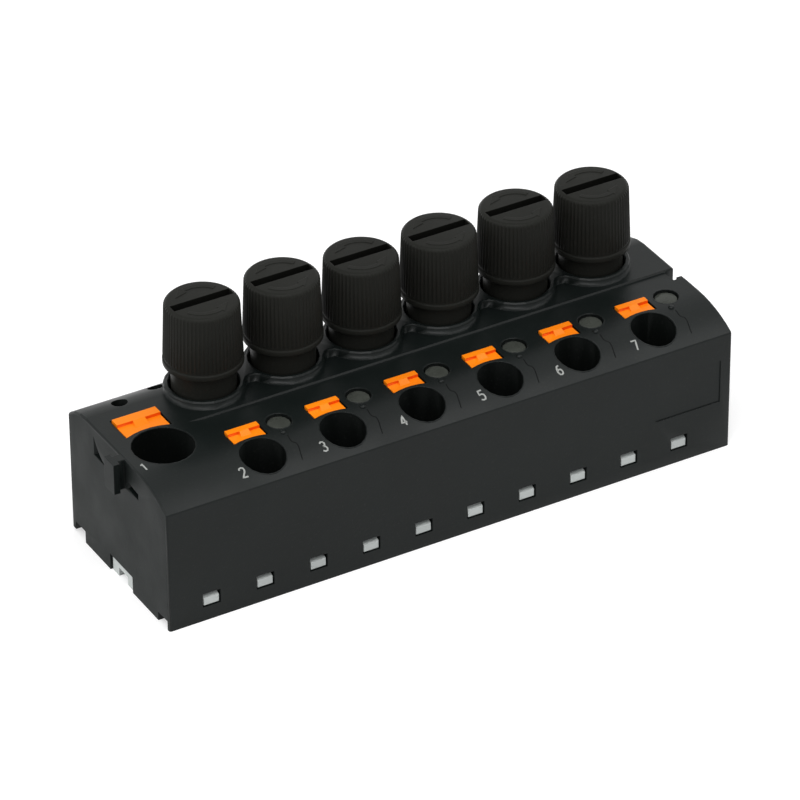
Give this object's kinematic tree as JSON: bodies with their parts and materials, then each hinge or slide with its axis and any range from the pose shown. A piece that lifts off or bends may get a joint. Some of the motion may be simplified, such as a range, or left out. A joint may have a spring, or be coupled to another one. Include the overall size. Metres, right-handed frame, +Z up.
{
  "type": "distribution terminal block",
  "caption": "Fused distribution terminal block: a large push-in wire port with its button feeds a row of smaller ports, each with button, indicator lens and screw-cap fuse holder.",
  "frame": {"origin": "middle of the underside of the block, without the joining nose", "axes": "+X along the row from the large wire port to the last small one, -Y towards the wire ports, +Z up out of the wire ports and caps"},
  "size_m": [0.0893, 0.0278, 0.0347],
  "materials": {
    "black_moulding": "semi-gloss black moulding",
    "cap_moulding": "semi-gloss warm black",
    "light_grey_moulding": "satin light grey",
    "orange_moulding": "satin orange",
    "tinned_copper": "dull tin plating",
    "spring_steel": "bright",
    "brass": "satin",
    "lens_plastic": "smoky translucent",
    "board_laminate": "green laminate",
    "fuse_ends_and_glass": "nickel-plated ends"
  },
  "bodies": {
    "block": {"housing": "black_moulding", "base_cover": "light_grey_moulding", "input_busbar": "tinned_copper", "input_spring": "spring_steel", "indicator_board": "board_laminate", "output_contact_1": "tinned_copper", "output_contact_2": "tinned_copper", "output_contact_3": "tinned_copper", "output_contact_4": "tinned_copper", "output_contact_5": "tinned_copper", "output_contact_6": "tinned_copper", "output_spring_1": "spring_steel", "output_spring_2": "spring_steel", "output_spring_3": "spring_steel", "output_spring_4": "spring_steel", "output_spring_5": "spring_steel", "output_spring_6": "spring_steel", "fuse_socket_1": "brass", "fuse_socket_2": "brass", "fuse_socket_3": "brass", "fuse_socket_4": "brass", "fuse_socket_5": "brass", "fuse_socket_6": "brass", "light_guide_1": "lens_plastic", "light_guide_2": "lens_plastic", "light_guide_3": "lens_plastic", "light_guide_4": "lens_plastic", "light_guide_5": "lens_plastic", "light_guide_6": "lens_plastic"},
    "input_button": {"input_button": "orange_moulding"},
    "output_button_1": {"output_button_1": "orange_moulding"},
    "fuse_1": {"fuse_1": "fuse_ends_and_glass"},
    "fuse_cap_1": {"fuse_cap_1": "cap_moulding", "fuse_clip_1": "spring_steel"},
    "output_button_2": {"output_button_2": "orange_moulding"},
    "fuse_2": {"fuse_2": "fuse_ends_and_glass"},
    "fuse_cap_2": {"fuse_cap_2": "cap_moulding", "fuse_clip_2": "spring_steel"},
    "output_button_3": {"output_button_3": "orange_moulding"},
    "fuse_3": {"fuse_3": "fuse_ends_and_glass"},
    "fuse_cap_3": {"fuse_cap_3": "cap_moulding", "fuse_clip_3": "spring_steel"},
    "output_button_4": {"output_button_4": "orange_moulding"},
    "fuse_4": {"fuse_4": "fuse_ends_and_glass"},
    "fuse_cap_4": {"fuse_cap_4": "cap_moulding", "fuse_clip_4": "spring_steel"},
    "output_button_5": {"output_button_5": "orange_moulding"},
    "fuse_5": {"fuse_5": "fuse_ends_and_glass"},
    "fuse_cap_5": {"fuse_cap_5": "cap_moulding", "fuse_clip_5": "spring_steel"},
    "output_button_6": {"output_button_6": "orange_moulding"},
    "fuse_6": {"fuse_6": "fuse_ends_and_glass"},
    "fuse_cap_6": {"fuse_cap_6": "cap_moulding", "fuse_clip_6": "spring_steel"}
  },
  "joints": [
    {"name": "input_press", "type": "slide", "parent": "block", "child": "input_button", "axis": [0, 0, -1], "range_m": [0, 0.001], "stiffness_N_per_m": 4000, "springref_m": -0.001, "deforming": ["input_spring"]},
    {"name": "output_press_1", "type": "slide", "parent": "block", "child": "output_button_1", "axis": [0, 0, -1], "range_m": [0, 0.0012], "stiffness_N_per_m": 3000, "springref_m": -0.001, "deforming": ["output_spring_1"]},
    {"name": "output_press_2", "type": "slide", "parent": "block", "child": "output_button_2", "axis": [0, 0, -1], "range_m": [0, 0.0012], "stiffness_N_per_m": 3000, "springref_m": -0.001, "deforming": ["output_spring_2"]},
    {"name": "output_press_3", "type": "slide", "parent": "block", "child": "output_button_3", "axis": [0, 0, -1], "range_m": [0, 0.0012], "stiffness_N_per_m": 3000, "springref_m": -0.001, "deforming": ["output_spring_3"]},
    {"name": "output_press_4", "type": "slide", "parent": "block", "child": "output_button_4", "axis": [0, 0, -1], "range_m": [0, 0.0012], "stiffness_N_per_m": 3000, "springref_m": -0.001, "deforming": ["output_spring_4"]},
    {"name": "output_press_5", "type": "slide", "parent": "block", "child": "output_button_5", "axis": [0, 0, -1], "range_m": [0, 0.0012], "stiffness_N_per_m": 3000, "springref_m": -0.001, "deforming": ["output_spring_5"]},
    {"name": "output_press_6", "type": "slide", "parent": "block", "child": "output_button_6", "axis": [0, 0, -1], "range_m": [0, 0.0012], "stiffness_N_per_m": 3000, "springref_m": -0.001, "deforming": ["output_spring_6"]},
    {"name": "fuse_lift_1", "type": "slide", "parent": "block", "child": "fuse_1", "axis": [0, 0, 1], "range_m": [0, 0.0025]},
    {"name": "cap_turn_1", "type": "hinge", "parent": "fuse_1", "child": "fuse_cap_1", "pos_m": [-0.02654, 0.00737, 0.03], "axis": [0, 0, 1], "range_deg": [0, 720]},
    {"name": "fuse_lift_2", "type": "slide", "parent": "block", "child": "fuse_2", "axis": [0, 0, 1], "range_m": [0, 0.0025]},
    {"name": "cap_turn_2", "type": "hinge", "parent": "fuse_2", "child": "fuse_cap_2", "pos_m": [-0.01442, 0.00737, 0.03], "axis": [0, 0, 1], "range_deg": [0, 720]},
    {"name": "fuse_lift_3", "type": "slide", "parent": "block", "child": "fuse_3", "axis": [0, 0, 1], "range_m": [0, 0.0025]},
    {"name": "cap_turn_3", "type": "hinge", "parent": "fuse_3", "child": "fuse_cap_3", "pos_m": [-0.00229, 0.00737, 0.03], "axis": [0, 0, 1], "range_deg": [0, 720]},
    {"name": "fuse_lift_4", "type": "slide", "parent": "block", "child": "fuse_4", "axis": [0, 0, 1], "range_m": [0, 0.0025]},
    {"name": "cap_turn_4", "type": "hinge", "parent": "fuse_4", "child": "fuse_cap_4", "pos_m": [0.00984, 0.00737, 0.03], "axis": [0, 0, 1], "range_deg": [0, 720]},
    {"name": "fuse_lift_5", "type": "slide", "parent": "block", "child": "fuse_5", "axis": [0, 0, 1], "range_m": [0, 0.0025]},
    {"name": "cap_turn_5", "type": "hinge", "parent": "fuse_5", "child": "fuse_cap_5", "pos_m": [0.02198, 0.00737, 0.03], "axis": [0, 0, 1], "range_deg": [0, 720]},
    {"name": "fuse_lift_6", "type": "slide", "parent": "block", "child": "fuse_6", "axis": [0, 0, 1], "range_m": [0, 0.0025]},
    {"name": "cap_turn_6", "type": "hinge", "parent": "fuse_6", "child": "fuse_cap_6", "pos_m": [0.03411, 0.00737, 0.03], "axis": [0, 0, 1], "range_deg": [0, 720]}
  ],
  "couplings": [
    {"joint": "cap_turn_1", "follows": "fuse_lift_1", "rad_per_m": 5026.5},
    {"joint": "cap_turn_2", "follows": "fuse_lift_2", "rad_per_m": 5026.5},
    {"joint": "cap_turn_3", "follows": "fuse_lift_3", "rad_per_m": 5026.5},
    {"joint": "cap_turn_4", "follows": "fuse_lift_4", "rad_per_m": 5026.5},
    {"joint": "cap_turn_5", "follows": "fuse_lift_5", "rad_per_m": 5026.5},
    {"joint": "cap_turn_6", "follows": "fuse_lift_6", "rad_per_m": 5026.5}
  ]
}
